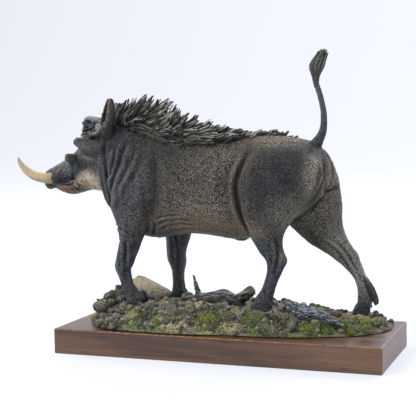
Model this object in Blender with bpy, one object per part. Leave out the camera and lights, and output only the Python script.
"""A warthog figurine on cast ground and a wooden plinth.

The origin is the centre of the plinth's underside. +X runs along the plinth toward the tail,
the head is at -X, the animal's left side faces -Y, and +Z is up. Sizes are in metres.
"""

import math
import random

import bmesh
import bpy
from mathutils import Euler, Matrix, Vector, noise

# Plinth
PLINTH_LENGTH = 0.260
PLINTH_WIDTH = 0.100
PLINTH_HEIGHT = 0.020
PLINTH_EDGE = 0.0011

# Cast ground, as tall as this above the plinth where it is highest
GROUND_HEIGHT = 0.020
GROUND_END_MARGIN = 0.0045
GROUND_SIDE_MARGIN = 0.0015

# Animal: a hundred and twentieth of this length is the unit of the shape below
FIGURE_LENGTH = 0.240
HOOF_SINK = 0.0012
HEAD_TURN = math.radians(16)

# Tusks: how far each goes into the muzzle
TUSK_DEPTH = 0.007
TUSK_RADIUS = 0.0043

# Clearances between pieces
WOOD_GAP = 0.0003
HOOF_GAP = 0.0004
TUSK_GAP = 0.0003

UNIT = FIGURE_LENGTH / 240
GROUND_LEVEL = 38
TAU = 2 * math.pi


def body(x, y, z):
    """A point of the animal, given in its own units, in the world."""
    return Vector((x * UNIT, y * UNIT, PLINTH_HEIGHT + GROUND_HEIGHT * 0.9 + (z - GROUND_LEVEL) * UNIT))


def head(forward, right, up):
    """A point of the head, measured from the neck joint, in the world."""
    x = -90 - forward * math.cos(HEAD_TURN) + right * math.sin(HEAD_TURN)
    y = forward * math.sin(HEAD_TURN) + right * math.cos(HEAD_TURN)
    return body(x, y, 165 + up)


def terrain(x, y, z):
    """A point of the ground: shares of the plinth's half sizes and of the ground's height."""
    half_length = PLINTH_LENGTH / 2 - GROUND_END_MARGIN
    half_width = PLINTH_WIDTH / 2 - GROUND_SIDE_MARGIN
    return Vector((x * half_length, y * half_width, PLINTH_HEIGHT + WOOD_GAP + z * GROUND_HEIGHT))


def between(rows, t):
    """A smooth value along rows of numbers, for t from 0 to 1."""
    at = t * (len(rows) - 1)
    i = min(int(at), len(rows) - 2)
    s = at - i
    before = rows[max(i - 1, 0)]
    after = rows[min(i + 2, len(rows) - 1)]
    values = []
    for p, q, r, w in zip(before, rows[i], rows[i + 1], after):
        slope_q = (r - p) / 2
        slope_r = (w - q) / 2
        a = 2 * q - 2 * r + slope_q + slope_r
        b = 3 * r - 3 * q - 2 * slope_q - slope_r
        values.append(a * s**3 + b * s**2 + slope_q * s + q)
    return values


def skin(bm, rings):
    """Joins rings of points into one closed surface."""
    loops = [[bm.verts.new(point) for point in ring] for ring in rings]
    count = len(loops[0])
    for low, high in zip(loops, loops[1:]):
        for i in range(count):
            j = (i + 1) % count
            bm.faces.new((low[i], low[j], high[j], high[i]))
    bm.faces.new(list(reversed(loops[0])))
    bm.faces.new(loops[-1])


def oval(count, power):
    """Points round a rounded rectangle or an ellipse of half sizes 1."""
    points = []
    for i in range(count):
        c = math.cos(TAU * i / count)
        s = math.sin(TAU * i / count)
        points.append((math.copysign(abs(c) ** (2 / power), c), math.copysign(abs(s) ** (2 / power), s)))
    return points


def trunk_part(bm, stations, steps=4, count=32, power=2.3):
    """Stations along X: x, top, bottom, half width, centre y."""
    rings = []
    total = (len(stations) - 1) * steps
    for k in range(total + 1):
        x, top, bottom, half, y = between(stations, k / total)
        middle = (top + bottom) / 2
        tall = (top - bottom) / 2
        rings.append([body(x, y + c * half, middle + s * tall) for c, s in oval(count, power)])
    skin(bm, rings)


def head_part(bm, stations, steps=4, count=28, power=2.3):
    """Stations along the head: forward, top, bottom, half width."""
    rings = []
    total = (len(stations) - 1) * steps
    for k in range(total + 1):
        f, top, bottom, half = between(stations, k / total)
        middle = (top + bottom) / 2
        tall = (top - bottom) / 2
        rings.append([head(f, c * half, middle + s * tall) for c, s in oval(count, power)])
    skin(bm, rings)


def leg_part(bm, stations, steps=4, count=20):
    """Stations down a leg: z, front x, rear x, centre y, half width."""
    rings = []
    total = (len(stations) - 1) * steps
    for k in range(total + 1):
        z, front, rear, y, half = between(stations, k / total)
        middle = (front + rear) / 2
        deep = (rear - front) / 2
        rings.append([body(middle + c * deep, y - s * half, z) for c, s in oval(count, 2)])
    skin(bm, rings)


def tube_part(bm, points, place=body, steps=4, count=10, across=(0, 1, 0), flat=1.0):
    """A bent tapering tube through points of x, y, z, radius. flat thins it square to across."""
    rows = []
    total = (len(points) - 1) * steps
    for k in range(total + 1):
        x, y, z, radius = between(points, k / total)
        rows.append((place(x, y, z), max(radius, 0.15)))
    rings = []
    for k, (centre, radius) in enumerate(rows):
        along = rows[min(k + 1, total)][0] - rows[max(k - 1, 0)][0]
        along.normalize()
        side = Vector(across)
        side = (side - along * side.dot(along)).normalized()
        other = along.cross(side)
        size = radius * UNIT
        ring = []
        for c, s in oval(count, 2):
            ring.append(centre + side * c * size + other * s * size * flat)
        rings.append(ring)
    skin(bm, rings)


def lump(bm, centre, sizes, turn=(0, 0, 0), finer=2):
    """An ellipsoid of half sizes in figure units."""
    made = bmesh.ops.create_icosphere(bm, subdivisions=finer, radius=1)
    scale = Matrix.Diagonal((*[size * UNIT for size in sizes], 1))
    place = Matrix.Translation(centre) @ Euler(turn).to_matrix().to_4x4() @ scale
    bmesh.ops.transform(bm, matrix=place, verts=made["verts"])


def new_material(name, colour, roughness, metallic=0.0):
    material = bpy.data.materials.new(name)
    material.use_nodes = True
    shader = material.node_tree.nodes["Principled BSDF"]
    shader.inputs["Base Color"].default_value = (*colour, 1)
    shader.inputs["Roughness"].default_value = roughness
    shader.inputs["Metallic"].default_value = metallic
    material.diffuse_color = (*colour, 1)
    return material


def new_object(name, bm, material=None):
    bmesh.ops.recalc_face_normals(bm, faces=bm.faces)
    mesh = bpy.data.meshes.new(name)
    bm.to_mesh(mesh)
    bm.free()
    obj = bpy.data.objects.new(name, mesh)
    bpy.context.scene.collection.objects.link(obj)
    if material:
        mesh.materials.append(material)
    return obj


def settle(obj):
    """Replaces the object's mesh with its modified one and drops the modifiers."""
    bpy.context.view_layer.update()
    graph = bpy.context.evaluated_depsgraph_get()
    mesh = bpy.data.meshes.new_from_object(obj.evaluated_get(graph))
    obj.modifiers.clear()
    mesh.name = obj.name
    obj.data = mesh


def keep_largest(obj):
    """Drops loose crumbs that a cut left."""
    bm = bmesh.new()
    bm.from_mesh(obj.data)
    left = set(bm.verts)
    groups = []
    while left:
        group = set()
        border = [left.pop()]
        while border:
            vert = border.pop()
            group.add(vert)
            for edge in vert.link_edges:
                other = edge.other_vert(vert)
                if other in left:
                    left.remove(other)
                    border.append(other)
        groups.append(group)
    groups.sort(key=len)
    for group in groups[:-1]:
        bmesh.ops.delete(bm, geom=list(group), context="VERTS")
    bm.to_mesh(obj.data)
    bm.free()


def mend(obj):
    """Opens each place where the surface touches itself and closes it again with a small patch."""
    bm = bmesh.new()
    bm.from_mesh(obj.data)
    bmesh.ops.remove_doubles(bm, verts=bm.verts[:], dist=2e-6)
    bmesh.ops.dissolve_degenerate(bm, dist=2e-6, edges=bm.edges[:])
    bmesh.ops.triangulate(bm, faces=bm.faces[:])
    for _ in range(8):
        bad = [edge for edge in bm.edges if len(edge.link_faces) != 2]
        if not bad:
            break
        pinched = {vert for edge in bad if len(edge.link_faces) > 2 for vert in edge.verts}
        bmesh.ops.delete(bm, geom=list(pinched), context="VERTS")
        loose = [edge for edge in bm.edges if not edge.link_faces]
        bmesh.ops.delete(bm, geom=loose, context="EDGES")
        bmesh.ops.holes_fill(bm, edges=[edge for edge in bm.edges if edge.is_boundary], sides=0)
        bmesh.ops.triangulate(bm, faces=bm.faces[:])
    bmesh.ops.recalc_face_normals(bm, faces=bm.faces[:])
    bm.to_mesh(obj.data)
    bm.free()


def melt(obj, grain, smoothing, triangles):
    """Fuses overlapping shapes into one surface of about this many triangles."""
    remesh = obj.modifiers.new("Fuse", "REMESH")
    remesh.mode = "VOXEL"
    remesh.voxel_size = grain
    soften = obj.modifiers.new("Soften", "SMOOTH")
    soften.factor = 0.5
    soften.iterations = smoothing
    settle(obj)
    keep_largest(obj)
    thin = obj.modifiers.new("Thin", "DECIMATE")
    thin.ratio = min(1, triangles / (2 * len(obj.data.polygons)))
    settle(obj)
    mend(obj)


def cut(obj, cutter):
    boolean = obj.modifiers.new("Cut", "BOOLEAN")
    boolean.operation = "DIFFERENCE"
    boolean.solver = "EXACT"
    boolean.object = cutter
    settle(obj)
    mend(obj)
    keep_largest(obj)


def swollen(obj, by, name):
    """A copy of a piece, larger all round, to cut its seat."""
    copy = bpy.data.objects.new(name, obj.data.copy())
    bpy.context.scene.collection.objects.link(copy)
    mesh = copy.data
    moves = [vert.normal * by for vert in mesh.vertices]
    for vert, move in zip(mesh.vertices, moves):
        vert.co += move
    copy.hide_render = True
    copy.display_type = "WIRE"
    return copy


# The animal's outline, in figure units. Trunk: x, top, bottom, half width, centre y
TRUNK = [
    (-107.5, 172, 136, 7, 3),
    (-103.5, 178, 124, 12.5, 2),
    (-97, 181.5, 110, 17, 1),
    (-87, 182.6, 99, 21.5, 0),
    (-75, 181, 91.6, 25, 0),
    (-61, 178, 88, 27.3, 0),
    (-46, 174.4, 88.7, 28.6, 0),
    (-31, 170.4, 90, 29.2, 0),
    (-11, 166.4, 89.6, 29, 0),
    (7, 166.1, 89.8, 27.6, 0),
    (23, 168.3, 92, 26, 0),
    (38, 168.8, 97, 26, 0),
    (54, 167.2, 105, 25.5, 0),
    (67, 163.8, 115, 22, 0),
    (77, 156.5, 126, 15, 1),
    (82.5, 147, 136, 5, 2),
]
# Legs: z, front x, rear x, centre y, half width
LEFT_FORE = [
    (160, -82, -58, -13, 6),
    (146, -91, -53, -16, 11.2),
    (128, -94.5, -53, -17.6, 12.6),
    (112, -91.5, -56, -18.5, 12),
    (100, -87, -60.5, -19.5, 10.6),
    (88, -84.6, -65.2, -20, 8.8),
    (80, -86.2, -68.8, -20, 7.5),
    (69, -89.3, -73.9, -20, 6.9),
    (63.7, -88.4, -76.2, -20, 6.2),
    (55, -85.2, -74.8, -20, 5.4),
    (50, -83.6, -72.2, -20, 5.4),
    (44.5, -81.5, -67.8, -20, 5.6),
]
RIGHT_FORE = [
    (160, -82, -58, 13, 6),
    (146, -88, -50, 16, 11.2),
    (128, -86, -43, 18, 12.4),
    (112, -74, -38, 18.5, 11.5),
    (99, -65, -38, 18.8, 9.8),
    (88.5, -61.4, -39.4, 18.5, 8.4),
    (74, -60.2, -44, 18, 6.9),
    (67, -59.5, -43.8, 18, 6.6),
    (59, -56.2, -45.6, 18, 5.5),
    (51, -55.5, -45.7, 18, 5.2),
    (42, -56, -44.6, 18, 5.6),
]
LEFT_HIND = [
    (162, 28, 64, -12, 8),
    (152, 18, 75, -15.5, 12.8),
    (142.6, 15.5, 80, -17, 15),
    (131.4, 14, 77.6, -17.6, 15.3),
    (118.8, 16, 67.9, -18.6, 14.2),
    (103, 19.8, 55.6, -20, 11.4),
    (93, 24.4, 50.3, -20.5, 9),
    (83.5, 30, 50, -21, 7.2),
    (76, 35.8, 53.5, -21, 6.2),
    (70.7, 37.4, 51.6, -21, 5.8),
    (63, 36.6, 47.5, -21, 5.2),
    (53.5, 33, 43.6, -21, 5.2),
    (46, 28, 41.8, -21, 5.8),
]
RIGHT_HIND = [
    (162, 34, 66, 12, 8),
    (152, 26, 77, 15, 12.5),
    (142, 26, 81.5, 16.5, 14),
    (131, 28, 84.4, 17.5, 14),
    (118, 33, 86, 18.5, 13),
    (105, 39, 86, 19, 11.4),
    (95.5, 46, 87.2, 19.5, 9.8),
    (84.2, 59.5, 92.2, 19.5, 8),
    (77.6, 70.8, 97.4, 19.5, 6.7),
    (70, 82.4, 100.3, 19.5, 6),
    (62.3, 91.3, 103, 19.5, 5.4),
    (52.3, 96.7, 107.2, 19.5, 5.2),
    (40.5, 98.4, 109.6, 19.5, 5.8),
]
# Hooves: front x, rear x, centre y, underside z
HOOVES = [
    (-79.8, -63.3, -20, 36.2),
    (-60, -43.8, 18, 33.8),
    (24.2, 41.2, -21, 36.8),
    (93.6, 107.6, 19.5, 30.2),
]
# Head: forward, top, bottom, half width
SKULL = [
    (-14, 13, -33, 18),
    (0, 15.5, -36, 20.5),
    (10, 16.3, -37.5, 20),
    (18, 15.6, -37, 18.6),
    (25, 11, -36, 16.8),
    (32, 4.6, -35.4, 14.8),
    (40, -2.6, -35, 12.6),
    (48, -8.2, -34.6, 11.2),
    (56, -13, -33.6, 10.5),
    (63, -16, -33, 10.6),
    (70, -19, -34.2, 9.6),
    (76, -21.2, -38.6, 8.6),
    (80.4, -24, -39.8, 7.8),
    (82.6, -27.6, -37.4, 5),
]
JAW = [
    (4, -28, -39.6, 14),
    (20, -30, -39.8, 12.6),
    (31, -31, -38.9, 10.6),
    (40, -32.5, -40.8, 9.2),
    (48, -33, -42.8, 8.4),
    (55, -33, -44, 7.8),
    (62, -33, -43, 7.2),
    (69, -33.4, -40.8, 6),
    (73, -34.4, -39.6, 4),
]
TAIL = [
    (68, 0, 157, 6.5),
    (72.3, 0, 164, 4.2),
    (76, 0, 171, 3),
    (77, 0, 180, 2.5),
    (76.3, 0, 189, 2.4),
    (74, 0, 198.5, 2.3),
    (71.4, 0, 207, 2.4),
    (70.6, 0, 213, 3),
    (72, 0, 219.5, 5.2),
    (73.6, 0, 225, 6),
    (75.6, 0, 229.5, 4.2),
    (77.5, 0, 232.4, 1.2),
]
# The left tusk beyond the muzzle, on the head's left side: forward, right, up, share of the root's radius
TUSK = [
    (65.8, -12.2, -29.9, 1),
    (72.5, -16.6, -29.8, 0.99),
    (79.6, -21.6, -27.4, 0.9),
    (85.9, -25.6, -22, 0.7),
    (89.5, -27.6, -16.2, 0.46),
    (90.7, -28, -12.6, 0.2),
]
# The crest under the mane and the mane's top: x, z
CREST = [(-100, 181), (-76, 180), (-53, 175.6), (-31, 169.6), (-10, 165.8), (14, 166), (38, 168), (54, 166.4)]
MANE_TOP = [(-101, 189), (-94, 193.4), (-86, 196.4), (-69, 200.8), (-57, 199), (-47, 196.5), (-37, 190.8), (-27, 186.8),
            (-18, 181.5), (-9, 177.8), (2, 175), (16, 172.4), (34, 171.2), (52, 169.4)]


def height_at(line, x):
    """Linear reading of a line of x, z points."""
    for (x0, z0), (x1, z1) in zip(line, line[1:]):
        if x <= x1:
            return z0 + (z1 - z0) * max(0, min(1, (x - x0) / (x1 - x0)))
    return line[-1][1]


def add_head(bm):
    head_part(bm, SKULL)
    head_part(bm, JAW)
    for side in (-1, 1):
        # eye socket, brow, eyeball and the fold below it
        lump(bm, head(20.5, side * 12.8, 11.4), (7.6, 5.2, 7.6))
        tube_part(bm, [(27, side * 13.6, 16.2, 1.6), (22, side * 15, 19, 2.2), (15, side * 15.4, 18.6, 2),
                       (8, side * 16, 15.5, 1.4)], head)
        lump(bm, head(23.8, side * 16.4, 12.8), (2.9, 2.9, 2.9))
        tube_part(bm, [(31.5, side * 13, 6, 1.3), (26, side * 17, 6, 1.7), (17, side * 19.4, 7.5, 1.6),
                       (8, side * 20.4, 9, 1.2)], head)
        # large wart below the eye, smaller one on the muzzle
        tube_part(bm, [(2, side * 12, -7, 7), (13, side * 16.5, -5, 7.6), (21, side * 20.6, -2.2, 5.8),
                       (26, side * 24.4, 0.8, 3.6), (28.8, side * 27, 3, 1.6)], head)
        tube_part(bm, [(43, side * 8, -15, 5), (46.6, side * 12, -13, 3.6), (48.4, side * 14.8, -11.8, 2.4),
                       (49, side * 16.2, -11.2, 1.3)], head)
        # jowl and the swelling round the tusk
        lump(bm, head(13, side * 13.6, -25), (14, 6.4, 12.6))
        lump(bm, head(30, side * 9.6, -29), (13, 5, 6.8))
        tube_part(bm, [(46, side * 7.6, -24, 5), (56, side * 9, -27, 6.4), (63.5, side * 11, -29.4, 6.4),
                       (67, side * 12.4, -29.9, 5.4)], head)
        # nostril rim
        tube_part(bm, [(76, side * 4.6, -24.4, 2.6), (80.4, side * 5.6, -28, 2.4), (82.2, side * 4.8, -32.4, 2),
                       (80, side * 4, -37, 2.4)], head)
        # lip folds
        tube_part(bm, [(64, side * 7.8, -34, 1.8), (56, side * 8.8, -34.6, 2), (47, side * 9.6, -34.2, 1.8),
                       (39, side * 11, -33.4, 1.2)], head)
        # ear, a thin leaf with its hollow forward
        tube_part(bm, [(3, side * 17, 10, 3), (1.2, side * 18.6, 16, 4.3), (-1.6, side * 19.8, 22, 4.7),
                       (-4.6, side * 20.6, 28, 3.9), (-6.8, side * 21, 32.6, 2.1), (-7.4, side * 21, 34.4, 0.8)],
                  head, count=12, across=(1, -0.2 * side, 0.3), flat=0.46)
    # bridge of the nose, flat disc of the snout, forelock between the ears
    tube_part(bm, [(26, 0, 6, 7), (40, 0, -8, 6.4), (56, 0, -18.6, 5.8), (72, 0, -25.6, 5)], head)
    lump(bm, head(80.8, 0, -32), (2.9, 8.4, 8.8), turn=(0, 0.12, -HEAD_TURN), finer=3)
    lump(bm, head(8, 0, 12), (12, 12, 8))


def add_hoof(bm, front, rear, y, under):
    length = rear - front
    for side in (-1, 1):
        across = y + side * 3.5
        leg_part(bm, [
            (under + 9.5, front + 0.3 * length, rear - 0.06 * length, y + side * 2.8, 2.9),
            (under + 5.5, front + 0.14 * length, rear - 0.02 * length, across, 3.4),
            (under + 1.6, front + 0.03 * length, rear - 0.02 * length, across, 3.7),
            (under, front + 0.02 * length, rear - 0.04 * length, across, 3.6),
        ], steps=2, count=14)
        lump(bm, body(rear - 0.6, y + side * 3.3, under + 10), (2.2, 1.8, 2.8), turn=(0, 0.5, 0), finer=1)


def add_mane(bm):
    """Coarse locks in rows: the middle ones stand up and sweep back, the outer ones lie on the neck."""
    core = []
    for x in (-99, -92, -80, -66, -54, -42, -30, -18, -4, 14):
        low = height_at(CREST, x)
        core.append((x, low + (height_at(MANE_TOP, x) - low) * 0.62, low - 6, 3 + (height_at(MANE_TOP, x) - low) * 0.2, 0))
    trunk_part(bm, core, steps=2, count=14)
    chance = random.Random(7)
    rows = [(0, 34, 0), (-1, 28, 1), (1, 28, 1), (-1, 24, 2), (1, 24, 2), (-1, 20, 3), (1, 20, 3)]
    for side, count, row in rows:
        for k in range(count):
            share = (k + chance.uniform(-0.3, 0.3)) / (count - 1)
            x = -103 + (150 - 14 * row) * share
            full = max(0.0, 1 - max(0.0, (x + 26) / (64 - 8 * row))) ** 0.8
            long = (9 + 13 * full) * chance.uniform(0.85, 1.12)
            out = (1.2, 6.5, 11, 14.5)[row] * (0.35 + 0.65 * full)
            fall = (0, 0.9, 3, 5.4)[row] * (0.3 + 0.7 * full)
            tip_x = x + long * (0.84, 0.95, 1.0, 0.92)[row] * (0.45 + 0.55 * min(1, share / 0.18))
            crest = height_at(CREST, tip_x)
            rise = (height_at(MANE_TOP, tip_x) + 1 - crest) * (1.0, 0.74, 0.3, -0.26)[row]
            tip_z = crest + rise * chance.uniform(0.84, 1.08) - 1.1 * fall
            root_y = side * out * 0.9
            tip_y = side * out * (1, 1.12, 1.2, 1.26)[row] + chance.uniform(-1.4, 1.4)
            root_z = height_at(CREST, x) - 2.4 - fall
            thick = (1.6 + 1.5 * full) * chance.uniform(0.9, 1.1)
            root = (x, root_y, root_z, thick)
            middle = ((x + tip_x) / 2 - 1.2, (root_y + tip_y) / 2 + side * 0.6, (root_z + tip_z) / 2 + 1.8, thick * 0.9)
            tube_part(bm, [root, middle, (tip_x, tip_y, tip_z, 0.75)], steps=3, count=6, flat=0.8)


def add_tail(bm):
    tube_part(bm, TAIL, count=12)
    for k in range(11):
        angle = TAU * k / 11
        c = math.cos(angle)
        s = math.sin(angle)
        tube_part(bm, [(70.8 + c, s, 212, 1.6), (72.4 + 4.6 * c, 4.2 * s, 220, 2.1), (74.5 + 4.4 * c, 4.2 * s, 226, 1.6),
                       (77 + 3 * c, 2.6 * s, 231 + 1.2 * math.cos(3 * angle), 0.5)], count=6)


def add_folds(bm):
    """Skin folds of the neck, half sunk in the body, and the forms below the tail and the belly."""
    for side in (-1, 1):
        for k, shift in enumerate((0, 5.5, 11.5)):
            tube_part(bm, [(-98 + shift, side * (15 + k), 168 - 3 * k, 1.4), (-101 + shift, side * (16 + 1.8 * k), 155, 2.6),
                           (-101.5 + shift, side * (15 + 2.1 * k), 138, 3), (-98.5 + shift, side * (12 + 2.6 * k), 120 - 3 * k, 2.4),
                           (-93 + shift, side * (8 + 3 * k), 108 - 3 * k, 1.4)])
        # the high dewclaws of the trailing leg
        lump(bm, body(110.6, 19.5 + side * 3, 41.6), (2.7, 1.8, 3.4), turn=(0, -0.5, 0), finer=1)
    lump(bm, body(76.5, 3, 137), (7.5, 8, 11))
    lump(bm, body(10, 0, 90.5), (7, 3.4, 4))


def make_warthog(material):
    bm = bmesh.new()
    trunk_part(bm, TRUNK)
    for leg in (LEFT_FORE, RIGHT_FORE, LEFT_HIND, RIGHT_HIND):
        leg_part(bm, leg)
    for hoof in HOOVES:
        add_hoof(bm, *hoof)
    add_head(bm)
    add_mane(bm)
    add_tail(bm)
    add_folds(bm)
    obj = new_object("warthog", bm, material)
    melt(obj, 0.85 * 0.001 * FIGURE_LENGTH / 0.240, 2, 5600)
    return obj


def make_tusk(name, side, material):
    """side is -1 for the animal's left. The root goes on straight back into the muzzle."""
    size = TUSK_RADIUS / UNIT
    depth = TUSK_DEPTH / UNIT
    first = Vector(TUSK[0][:3])
    back = (first - Vector(TUSK[1][:3])).normalized()
    points = []
    for share in (1, 0.5):
        deep = first + back * depth * share
        points.append((deep.x, side * -deep.y, deep.z, size * 0.94))
    for forward, right, up, share in TUSK:
        points.append((forward, side * -right, up, size * share))
    bm = bmesh.new()
    tube_part(bm, points, head, steps=2, count=10)
    obj = new_object(name, bm, material)
    for face in obj.data.polygons:
        face.use_smooth = True
    return obj


# Ground outline, going round, as shares of the half length and half width
RIM = [
    (-0.985, 0.02), (-0.92, -0.26), (-0.776, -0.79), (-0.596, -0.955), (-0.394, -0.995), (-0.162, -0.98),
    (0.052, -0.88), (0.274, -0.86), (0.414, -0.79), (0.552, -0.725), (0.68, -0.565), (0.81, -0.42),
    (0.93, -0.15), (0.992, 0.18), (0.99, 0.56), (0.955, 0.88), (0.76, 0.96), (0.42, 0.985),
    (0, 0.98), (-0.46, 0.975), (-0.77, 0.8), (-0.93, 0.42),
]
# How high the ground's ridge is along X, as a share of GROUND_HEIGHT
RIDGE = [(-0.98, 0.62), (-0.9, 0.86), (-0.8, 1.02), (-0.7, 1.02), (-0.5, 0.98), (-0.2, 0.98), (0.2, 0.93), (0.38, 0.77),
         (0.55, 0.64), (0.7, 0.52), (0.85, 0.44), (1, 0.4)]
# Stones that show by themselves: x, y, z, three half sizes in millimetres, turn
STONES = [
    (-0.7, 0.02, 0.95, 10, 9, 7.4, 0.4), (-0.77, -0.1, 0.82, 10, 8, 7, 0.2), (-0.84, -0.12, 0.55, 9, 8, 6.4, 0.8),
    (-0.735, -0.06, 1.16, 6.5, 5.5, 5, 0.3), (-0.78, -0.2, 0.98, 6, 5, 5, 1.1), (-0.82, -0.12, 0.86, 6.5, 5, 4.6, 2),
    (-0.875, -0.2, 0.5, 5.5, 6, 5, 0.6), (-0.68, -0.34, 0.92, 6.5, 5.5, 4, 2.6), (-0.8, -0.5, 0.66, 6, 5, 4.4, 0.2),
    (-0.6, -0.62, 0.62, 7, 4.6, 3.6, 0.5), (-0.47, -0.42, 0.9, 5, 4, 3.4, 1.3), (-0.33, -0.66, 0.6, 5.4, 4, 3.4, 0),
    (-0.72, -0.78, 0.3, 6, 4.4, 4, 0.4), (-0.5, -0.86, 0.28, 6.6, 4, 3.8, 0.1), (-0.25, -0.86, 0.28, 5.6, 4, 3.6, 0.2),
    (-0.05, -0.6, 0.66, 5.6, 4, 3, 0.2), (0.06, -0.76, 0.3, 6, 4, 3.6, 0.1), (0.2, -0.5, 0.7, 6.4, 4, 3, 2.9),
    (0.3, -0.7, 0.36, 6, 4, 4, 0.3), (0.47, -0.62, 0.4, 5.4, 4, 3.6, 0.4), (0.6, -0.5, 0.4, 5.6, 4.4, 3.6, 0.7),
    (0.74, -0.3, 0.36, 6, 4.6, 3.8, 0.9), (0.86, -0.1, 0.3, 5, 5, 4, 1.2), (0.91, 0.24, 0.3, 5, 6, 4, 1.5),
    (0.88, 0.62, 0.26, 5, 6, 4, 1.7), (0.62, 0.3, 0.56, 5, 4, 3, 0.5), (0.74, 0.66, 0.3, 6, 4, 4, 0.3),
    (0.3, 0.56, 0.62, 7, 5, 4, 0.1), (0.5, 0.8, 0.26, 6, 4.4, 4, 0), (0.12, 0.8, 0.36, 7, 4.4, 4, 3),
    (-0.14, 0.62, 0.62, 6, 5, 4, 0.4), (-0.34, 0.84, 0.34, 7, 4, 4, 0.2), (-0.62, 0.82, 0.34, 6, 4.4, 4, 2.7),
    (-0.82, 0.42, 0.56, 6, 6, 4.4, 1), (-0.89, 0.16, 0.5, 5, 5, 4.4, 0.8), (-0.3, 0.05, 1.0, 5, 4, 3, 0.6),
    (-0.15, 0.3, 0.98, 4.6, 4, 3, 2), (0.22, 0.16, 0.98, 5, 4, 3, 1.2), (0.5, 0.04, 0.66, 4.6, 4, 3, 0.3),
]


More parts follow.
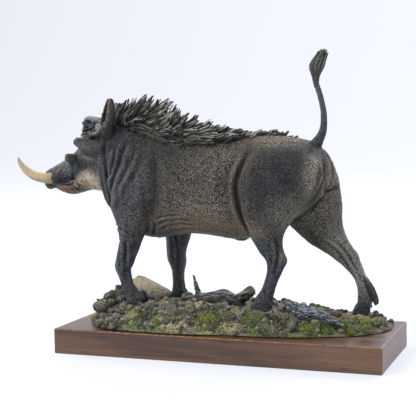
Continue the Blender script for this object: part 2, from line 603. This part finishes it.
def make_groundwork(material, warthog):
    chance = random.Random(11)
    bm = bmesh.new()
    around = 88
    rings = 18
    layers = []
    for ring in range(1, rings + 1):
        share = ring / rings
        layer = []
        for k in range(around):
            x, y = between(RIM + RIM[:1], k / around)
            x *= share
            y *= share
            rise = height_at(RIDGE, x) * (1 - share**3.4) ** 0.75
            lumps = noise.noise(Vector((x * 9, y * 4, 2))) * 0.1 + noise.noise(Vector((x * 22, y * 9, 5))) * 0.06
            layer.append(terrain(x, y, max(0.02, rise + lumps * (1 - share**6))))
        layers.append(layer)
    for layer in layers[:-1]:
        for point in layer:
            for front, rear, side, under in HOOVES:
                seat = body((front + rear) / 2, side, under)
                away = math.hypot((point.x - seat.x) / 1.15, point.y - seat.y) / (15 * UNIT)
                if away < 1:
                    weight = (1 - away * away) ** 1.5
                    point.z += (seat.z + HOOF_SINK - point.z) * min(1, 1.7 * weight)
    top = bm.verts.new(sum(layers[0], Vector()) / around)
    loops = [[bm.verts.new(point) for point in layer] for layer in layers]
    low = [bm.verts.new(Vector((point.x, point.y, PLINTH_HEIGHT - 0.004))) for point in layers[-1]]
    loops.append(low)
    for k in range(around):
        bm.faces.new((top, loops[0][k], loops[0][(k + 1) % around]))
    for inner, outer in zip(loops, loops[1:]):
        for k in range(around):
            j = (k + 1) % around
            bm.faces.new((inner[k], outer[k], outer[j], inner[j]))
    bm.faces.new(low)
    grain = GROUND_HEIGHT / 20
    for x, y, z, long, wide, tall, turn in STONES:
        made = bmesh.ops.create_icosphere(bm, subdivisions=1, radius=1)
        for vert in made["verts"]:
            vert.co *= chance.uniform(0.86, 1.14)
        scale = Matrix.Diagonal((long * grain, wide * grain, tall * grain, 1))
        place = Matrix.Translation(terrain(x, y, z)) @ Euler((0, 0, turn)).to_matrix().to_4x4() @ scale
        bmesh.ops.transform(bm, matrix=place, verts=made["verts"])
    # the tan rock behind the left foreleg
    rock = [(-0.75, 0.1, 0.4), (-0.77, 0.36, 1.25), (-0.745, 0.3, 1.4), (-0.695, 0.4, 1.66), (-0.655, 0.42, 1.6),
            (-0.55, 0.36, 1.24), (-0.48, 0.36, 1.04), (-0.45, 0.3, 0.7), (-0.5, 0.12, 0.8), (-0.62, 0.08, 1.06),
            (-0.7, 0.1, 1.12), (-0.74, 0.68, 0.9), (-0.66, 0.72, 1.24), (-0.52, 0.7, 0.96), (-0.47, 0.66, 0.5),
            (-0.6, 0.4, 0.2)]
    corners = [bm.verts.new(terrain(*point)) for point in rock]
    bmesh.ops.convex_hull(bm, input=corners)

    def wood(points, across=(0, 1, 0), flat=1.0, count=9):
        rows = []
        for x, y, z, radius in points:
            spot = terrain(x, y, z)
            rows.append((spot.x * 1000, spot.y * 1000, spot.z * 1000, radius * GROUND_HEIGHT / 0.020 / UNIT / 1000))
        tube_part(bm, rows, lambda a, b, c: Vector((a, b, c)) / 1000, count=count, across=across, flat=flat)

    # driftwood lying along the ground, its cut branch end and its upright twig
    wood([(-0.41, -0.2, 0.6, 2.4), (-0.34, -0.17, 0.82, 3.2), (-0.22, -0.1, 0.98, 3.8), (-0.12, -0.1, 1.08, 4.2),
          (-0.035, -0.1, 1.14, 4.6), (0.045, -0.1, 1.06, 4.2), (0.1, -0.1, 1.2, 3.6), (0.165, -0.1, 1.44, 3)])
    wood([(0.02, -0.1, 1.1, 4), (0.07, -0.16, 0.9, 3.6), (0.12, -0.24, 0.7, 3)])
    wood([(-0.175, -0.1, 0.95, 3.2), (-0.203, -0.1, 1.2, 2.2), (-0.212, -0.1, 1.5, 1.5), (-0.222, -0.1, 1.8, 1)])
    # dark slab of bark with one tip raised
    wood([(0.395, -0.3, 1.1, 1.8), (0.44, -0.32, 1, 3.4), (0.52, -0.35, 0.86, 4.6), (0.61, -0.38, 0.74, 4.6),
          (0.69, -0.4, 0.58, 3), (0.73, -0.42, 0.46, 1.6)], flat=0.6)
    obj = new_object("groundwork", bm, material)
    melt(obj, 0.0011 * GROUND_HEIGHT / 0.020, 1, 2300)
    seat = swollen(warthog, HOOF_GAP, "hoof_seat_cutter")
    cut(obj, seat)
    flat = bmesh.new()
    flat.from_mesh(obj.data)
    under = Vector((0, 0, PLINTH_HEIGHT + WOOD_GAP))
    bmesh.ops.bisect_plane(flat, geom=flat.verts[:] + flat.edges[:] + flat.faces[:], plane_co=under,
                           plane_no=(0, 0, 1), clear_inner=True)
    edges = [edge for edge in flat.edges if edge.is_boundary]
    bmesh.ops.holes_fill(flat, edges=edges, sides=0)
    bmesh.ops.triangulate(flat, faces=flat.faces[:])
    flat.to_mesh(obj.data)
    flat.free()
    keep_largest(obj)
    return obj


def make_plinth(material):
    bm = bmesh.new()
    bmesh.ops.create_cube(bm, size=1)
    for vert in bm.verts:
        vert.co.x *= PLINTH_LENGTH
        vert.co.y *= PLINTH_WIDTH
        vert.co.z = (vert.co.z + 0.5) * PLINTH_HEIGHT
    bmesh.ops.bevel(bm, geom=bm.edges[:], offset=PLINTH_EDGE, segments=2, profile=0.5, affect="EDGES")
    return new_object("plinth", bm, material)


def main():
    for obj in list(bpy.data.objects):
        bpy.data.objects.remove(obj)
    hide = new_material("painted hide", (0.105, 0.102, 0.098), 0.62)
    ivory = new_material("ivory", (0.72, 0.63, 0.42), 0.32)
    earth = new_material("painted earth", (0.13, 0.125, 0.085), 0.85)
    wood = new_material("brown wood", (0.13, 0.062, 0.032), 0.42)
    warthog = make_warthog(hide)
    for name, side in (("tusk_left", -1), ("tusk_right", 1)):
        tusk = make_tusk(name, side, ivory)
        cut(warthog, swollen(tusk, TUSK_GAP, name + "_cutter"))
    make_groundwork(earth, warthog)
    make_plinth(wood)


main()
